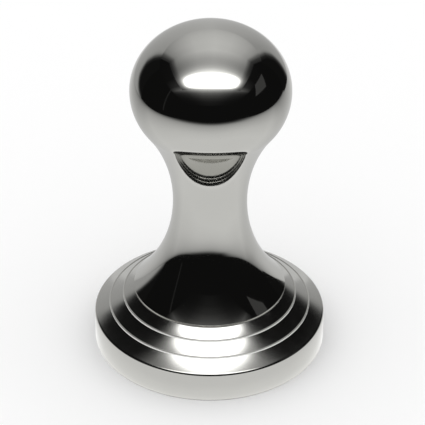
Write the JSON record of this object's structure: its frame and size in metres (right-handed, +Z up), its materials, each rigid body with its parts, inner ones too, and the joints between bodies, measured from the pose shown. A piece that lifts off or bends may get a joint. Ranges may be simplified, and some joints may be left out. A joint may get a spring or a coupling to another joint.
{
  "type": "espresso tamper",
  "caption": "Espresso tamper: a round stepped base with a flat press face, and an oval knob on a waisted neck that unscrews from it, all in mirror-polished metal.",
  "frame": {"origin": "centre of the flat press face, on the axis of the base", "axes": "+Z up the handle's axis, towards the knob; X and Y are any two directions across it"},
  "size_m": [0.058, 0.058, 0.0879],
  "materials": {
    "polished_base": "mirror-polished stainless steel",
    "polished_handle": "mirror-polished stainless steel",
    "stud_steel": "machined thread",
    "washer_nylon": "natural nylon"
  },
  "bodies": {
    "base": {"base": "polished_base"},
    "washer": {"seat_washer": "washer_nylon"},
    "handle": {"handle": "polished_handle", "joining_stud": "stud_steel"}
  },
  "joints": [
    {"name": "handle_lift", "type": "slide", "parent": "base", "child": "washer", "axis": [0, 0, 1], "range_m": [0, 0.00875]},
    {"name": "handle_unscrew", "type": "hinge", "parent": "washer", "child": "handle", "pos_m": [0, 0, 0.0149], "axis": [0, 0, 1], "range_deg": [0, 2520]}
  ],
  "couplings": [
    {"joint": "handle_lift", "follows": "handle_unscrew", "m_per_rad": 0.00019894}
  ]
}
